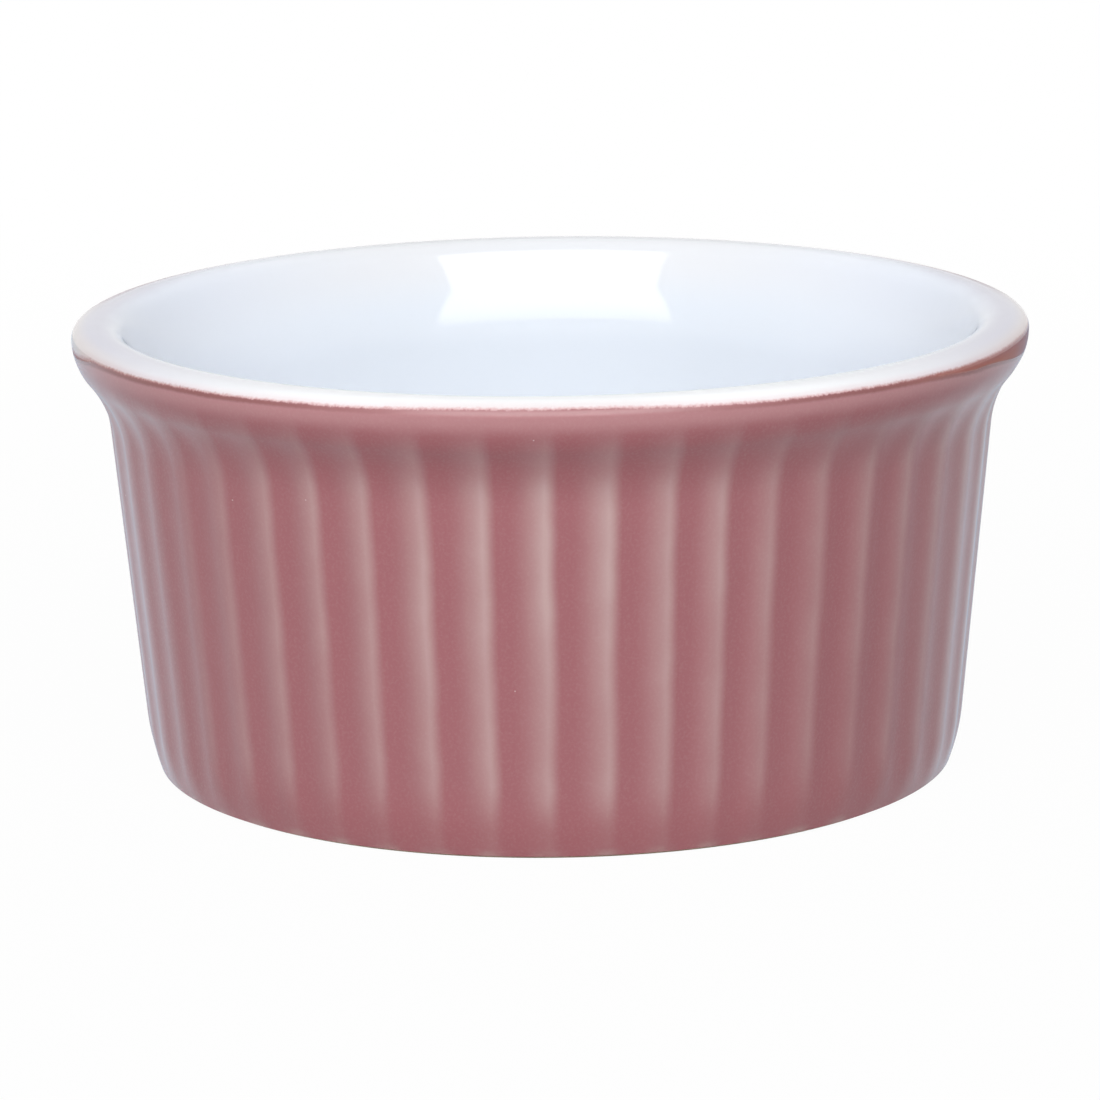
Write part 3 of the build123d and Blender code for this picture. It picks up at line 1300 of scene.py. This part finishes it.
@dataclass
class ClayBody(FlutedLayer):
    """The fired clay under the coats, bare at the foot."""

    piece: str = "clay_body"
    node: str = "stoneware_body"
    slot: Slot = Slot.STONEWARE
    steps_per_flute: int = 12
    foot_edge_radius: float = 0.6
    ring_width: float = 4.0
    recess_depth: float = 2.0
    recess_angle: float = 40.0
    recess_corner: float = 1.2
    flutes_from_radius: float = 42.0
    flutes_from_lean: float = 0.1

    def inner_limit(self, height: float) -> float:
        """Only the outer wall has flutes, not the bowl nor the foot's inside."""
        return self.flutes_from_radius + height * self.flutes_from_lean

    def finish(self) -> bpy.types.Material:
        """Make the bare clay."""
        return BareClay().material(self.shape)

    def foot_edge(self) -> Arc:
        """Find the small arc that rounds the clay on to the table.

        Returns:
            The arc, from the flat ring to the wall's foot.
        """
        shape = self.shape
        reach = shape.foot_curve_radius - shape.glaze - self.foot_edge_radius
        turn = -math.degrees(math.asin((shape.foot_curve_centre[1] - self.foot_edge_radius) / reach))
        centre = spot(shape.foot_curve_centre, reach, turn)
        return Arc(centre, self.foot_edge_radius, -90.0, turn, 6)

    def recess_arc(self, coat: float = 0.0) -> Arc:
        """Find the round corner of the recess under the base.

        Args:
            coat: The thickness of the coat on it, in millimetres.

        Returns:
            The corner, from the recess's flat top to its slanted side.
        """
        low = self.recess_depth - self.recess_corner
        slant = math.radians(self.recess_angle)
        reach = low * math.tan(slant) + self.recess_corner / math.cos(slant)
        centre = (self.foot_edge().centre[0] - self.ring_width - reach, low)
        return Arc(centre, self.recess_corner - coat, 90.0, self.recess_angle, 6)

    def outline(self) -> Outline:
        """Draw the clay: along the recess, the ring and the wall to the lip, and down the bowl.

        Returns:
            The closed outline.
        """
        shape = self.shape
        recess = self.recess_arc()
        foot = self.foot_edge()
        line = Outline((0.0, self.recess_depth))
        line.run(recess.point(recess.start), 6)
        line.bend(recess)
        line.run((foot.centre[0] - self.ring_width, 0.0), 3)
        line.run((foot.centre[0], 0.0), 4)
        line.bend(foot)
        turn_in, *outside = (arc.moved_in(shape.glaze) for arc in shape.outside_arcs((8, 6, 8, 2)))
        line.bend(Arc(turn_in.centre, turn_in.radius, foot.end, turn_in.end, turn_in.steps))
        line.run(outside[0].point(outside[0].start), 8)
        *inside, corner = (arc.moved_in(shape.glaze) for arc in shape.inside_arcs((2, 4, 4, 6, 6)))
        for arc in outside + inside:
            line.bend(arc)
        line.run(corner.point(corner.start), 3)
        line.bend(corner)
        line.run((0.0, shape.floor_height - shape.glaze), 4)
        line.close()
        return line


@dataclass
class BaseCoat(Layer):
    """The thin coat in the recess under the base."""

    piece: str = "base_coat"
    node: str = "base_glaze"
    slot: Slot = Slot.BASE_COAT
    steps_per_flute: int = 4
    thickness: float = 0.3
    gap: float = 0.5

    def finish(self) -> bpy.types.Material:
        """Make the clear coat."""
        return ClearCoat().material()

    def outline(self) -> Outline:
        """Draw the coat: from the axis along its free side to its edge, and back on the clay.

        Returns:
            The closed outline.
        """
        clay = ClayBody(self.shape, self.flutes)
        free = clay.recess_arc(self.thickness)
        bed = clay.recess_arc()
        slant = math.tan(math.radians(clay.recess_angle))
        top = free.point(free.start)
        line = Outline((0.0, top[1]))
        line.run(top, 8)
        line.bend(free)
        for arc in (free, bed):
            end = arc.point(arc.end)
            line.run((end[0] + (end[1] - self.gap) * slant, self.gap), 2)
        line.back_along(bed)
        line.run((0.0, clay.recess_depth), 4)
        line.close()
        return line


def stage_glow(
    name: str, mesh: bmesh.types.BMesh, finish: bpy.types.Material, mirrored: bool
) -> bpy.types.Object:
    """Turn a mesh into a glowing part of the studio that the camera doesn't see.

    Args:
        name: The part's name.
        mesh: The part's mesh, which is freed.
        finish: The part's material.
        mirrored: Whether glossy surfaces show the part.

    Returns:
        The part.
    """
    part = set_up(name, mesh, finish)
    part.visible_camera = False
    part.visible_glossy = mirrored
    part.visible_shadow = False
    return part


@dataclass(frozen=True)
class Softbox:
    """A lamp whose glowing cloth leans over the dish, so that it looks wider towards its top.

    Each row is a height and a half width of the cloth as the dish sees them, as shares of its distance.
    The heights are measured from the lift, in metres. The ramps run over the cloth's width and height.
    """

    name: str
    azimuth: float
    distance: float
    rows: tuple[Point, ...]
    glow: float
    lift: float = 0.04
    columns: int = 4
    ends: Ramp = Ramp(0.47, 0.5, 1.0, 0.0)
    low: tuple[Ramp, Ramp] = (Ramp(0.0, 0.05), Ramp(0.08, 0.22, 0.65, 1.0))

    def finish(self) -> bpy.types.Material:
        """Make the cloth's glow, which is weaker near its lower edge and fades at its ends.

        Returns:
            The material.
        """
        bench = SurfaceBench(self.name)
        across, up, _ = bench.parts(bench.chart)
        return bench.glow(abs(across - 0.5).ease(self.ends) * up.ease(*self.low) * self.glow)

    def hang(self) -> bpy.types.Object:
        """Hang the lamp.

        Returns:
            The lamp.
        """
        mesh = bmesh.new()
        last = len(self.rows) - 1
        bmesh.ops.create_grid(mesh, x_segments=self.columns, y_segments=last, size=1.0, calc_uvs=False)
        chart = mesh.loops.layers.uv.new("lamp_map")
        for face in mesh.faces:
            for loop in face.loops:
                loop[chart].uv = ((loop.vert.co.x + 1) / 2, (loop.vert.co.y + 1) / 2)
        for vert in mesh.verts:
            rise, reach = self.rows[round((vert.co.y + 1) / 2 * last)]
            vert.co = Vector((vert.co.x * reach, -1.0, rise)) * self.distance + Vector((0.0, 0.0, self.lift))
        turn = Matrix.Rotation(math.radians(self.azimuth), 3, "Z")
        bmesh.ops.rotate(mesh, verts=mesh.verts[:], cent=(0.0, 0.0, 0.0), matrix=turn)
        return stage_glow(self.name, mesh, self.finish(), True)


@dataclass(frozen=True)
class Screen:
    """A curved pale screen that stands round part of the table, brightest low in its middle."""

    name: str
    azimuth: float
    half_turn: float
    radius: float
    height: float
    glow: float
    steps: int = 24
    ends: Ramp = Ramp(0.2, 1.0, 1.0, 0.0)
    top: Ramp = Ramp(0.25, 1.0, 1.0, 0.0)

    def finish(self) -> bpy.types.Material:
        """Make the screen's glow, which fades towards its ends and its top.

        Returns:
            The material.
        """
        bench = SurfaceBench(self.name)
        across, up, _ = bench.parts(bench.chart)
        return bench.glow(abs(across).ease(self.ends) * up.ease(self.top) * self.glow)

    def stand(self) -> bpy.types.Object:
        """Stand the screen up on the table.

        Returns:
            The screen.
        """
        mesh = bmesh.new()
        start = math.radians(self.azimuth - self.half_turn)
        foot = Vector((math.sin(start), -math.cos(start), 0.0)) * self.radius
        ends = [mesh.verts.new(foot + Vector((0, 0, height))) for height in (0.0, self.height)]
        edge = mesh.edges.new(ends)
        turn = math.radians(2 * self.half_turn)
        bmesh.ops.spin(mesh, geom=ends + [edge], angle=turn, steps=self.steps, use_duplicate=False, **UPRIGHT)
        chart = mesh.loops.layers.uv.new("screen_map")
        for face in mesh.faces:
            for loop in face.loops:
                place = loop.vert.co
                turn = math.degrees(math.atan2(place.x, -place.y)) - self.azimuth
                turn = (turn + 180) % 360 - 180
                loop[chart].uv = (turn / self.half_turn, place.z / self.height)
        return stage_glow(self.name, mesh, self.finish(), False)


@dataclass(frozen=True)
class Camera:
    """The picture's view: a long lens a little above the rim, turned slightly."""

    distance: float = 0.55334
    height: float = 0.14924
    lens_in_frames: float = 4.64393
    pitch: float = 12.859
    yaw: float = -0.035
    roll: float = -0.784
    sensor: float = 36.0
    nearest: float = 0.01
    farthest: float = 50.0

    def stand(self) -> bpy.types.Object:
        """Set the camera up and make it the scene's.

        Returns:
            The camera.
        """
        pitch, yaw, roll = (math.radians(angle) for angle in (self.pitch, self.yaw, self.roll))
        ahead = Vector((math.sin(yaw) * math.cos(pitch), math.cos(yaw) * math.cos(pitch), -math.sin(pitch)))
        level = ahead.cross(Vector((0, 0, 1))).normalized()
        upright = level.cross(ahead)
        right = level * math.cos(roll) + upright * math.sin(roll)
        up = upright * math.cos(roll) - level * math.sin(roll)
        data = bpy.data.cameras.new("camera")
        data.sensor_width = self.sensor
        data.lens = self.lens_in_frames * self.sensor
        data.clip_start = self.nearest
        data.clip_end = self.farthest
        camera = bpy.data.objects.new("camera", data)
        turn = Matrix((right, up, -ahead)).transposed().to_4x4()
        camera.matrix_world = Matrix.Translation((0.0, -self.distance, self.height)) @ turn
        bpy.context.scene.collection.objects.link(camera)
        bpy.context.scene.camera = camera
        return camera


@dataclass(frozen=True)
class BackLight:
    """A weak round lamp above and behind the dish, which lights the bowl and the lip."""

    place: Place = (0.0, 0.45, 0.85)
    size: float = 0.8
    glow: float = 0.4

    def hang(self) -> bpy.types.Object:
        """Hang the lamp, facing the dish.

        Returns:
            The lamp.
        """
        lamp = bpy.data.lights.new("back_light", "AREA")
        lamp.shape = "DISK"
        lamp.size = self.size
        lamp.energy = self.glow * math.pi * math.pi * self.size**2 / 4
        holder = bpy.data.objects.new("back_light", lamp)
        holder.location = self.place
        holder.rotation_mode = "QUATERNION"
        holder.rotation_quaternion = Vector(self.place).to_track_quat("Z", "Y")
        bpy.context.scene.collection.objects.link(holder)
        return holder


@dataclass(frozen=True)
class Table:
    """The pale table, which takes the dish's shadow and turns plain white away from it."""

    size: float = 12.0
    colour: Colour = (0.6, 0.6, 0.6)
    roughness: float = 0.9
    specular: float = 0.1
    whitening: Ramp = Ramp(0.09, 0.4, 0.975, 1.0)

    def finish(self) -> bpy.types.Material:
        """Make the table's material.

        Returns:
            The material.
        """
        bench = SurfaceBench("table")
        looks = {"Base Color": self.colour, "Roughness": self.roughness, "Specular IOR Level": self.specular}
        bench.dress(looks)
        away = bench.add("VectorMath", {0: bench.place}, "Value", operation="LENGTH")
        share = away.ease(self.whitening) * bench.white_when_seen()
        paint = Reading(bench, bench.surface.outputs["BSDF"])
        mix = bench.add("MixShader", {0: share, 1: paint, 2: bench.add("Emission", {})})
        bench.feed(mix, bench.tree.nodes["Material Output"].inputs["Surface"])
        return bench.material

    def lay(self) -> bpy.types.Object:
        """Lay the table under the dish.

        Returns:
            The table.
        """
        mesh = bmesh.new()
        bmesh.ops.create_grid(mesh, x_segments=1, y_segments=1, size=self.size / 2)
        table = set_up("table", mesh, self.finish())
        return table


@dataclass(frozen=True)
class Surround:
    """The light from all round, with plain white behind the dish."""

    ambient: Colour = (0.93, 0.96, 1.0)
    strength: float = 0.27

    def light(self) -> bpy.types.World:
        """Make the surround the scene's world.

        Returns:
            The world.
        """
        world = bpy.data.worlds.new("surround")
        bench = NodeBench(world)
        bench.tree.nodes.clear()
        lit = bench.add("Background", {"Color": self.ambient, "Strength": self.strength})
        shown = bench.add("Background", {"Color": WHITE, "Strength": 1.0})
        mix = bench.add("MixShader", {0: bench.white_when_seen(), 1: lit, 2: shown})
        out = bench.tree.nodes.new("ShaderNodeOutputWorld")
        bench.feed(mix, out.inputs["Surface"])
        bpy.context.scene.world = world
        return world


@dataclass(frozen=True)
class Studio:
    """Everything round the dish: the surround, the table, the lamps and the camera."""

    softbox: Softbox = Softbox(
        name="front_softbox",
        azimuth=-1.5,
        distance=0.8,
        rows=((0.27, 0.78), (0.52, 0.74), (0.8, 0.68), (1.15, 0.77), (1.9, 1.0)),
        glow=4.55,
    )
    screen: Screen = Screen(
        name="left_screen",
        azimuth=-75.0,
        half_turn=60.0,
        radius=0.9,
        height=0.5,
        glow=1.5,
    )

    def build(self) -> list[bpy.types.ID]:
        """Set up the studio.

        Returns:
            Its parts.
        """
        bpy.context.scene.view_settings.view_transform = "Standard"
        parts = [Surround().light(), Table().lay(), self.softbox.hang(), self.screen.stand()]
        return parts + [BackLight().hang(), Camera().stand()]


def main() -> None:
    """Build the dish's layers and the studio."""
    logging.basicConfig(level=logging.INFO, format="%(name)s: %(message)s")
    shape = DishShape()
    flutes = Flutes()
    for layer in (ClayBody, LinerCoat, OuterCoat, BaseCoat):
        piece = layer(shape, flutes).build()
        LOG.info("%s: %d faces", piece.name, len(piece.data.polygons))
    for part in Studio().build():
        LOG.info("%s: set up", part.name)


if __name__ == "__main__":
    main()
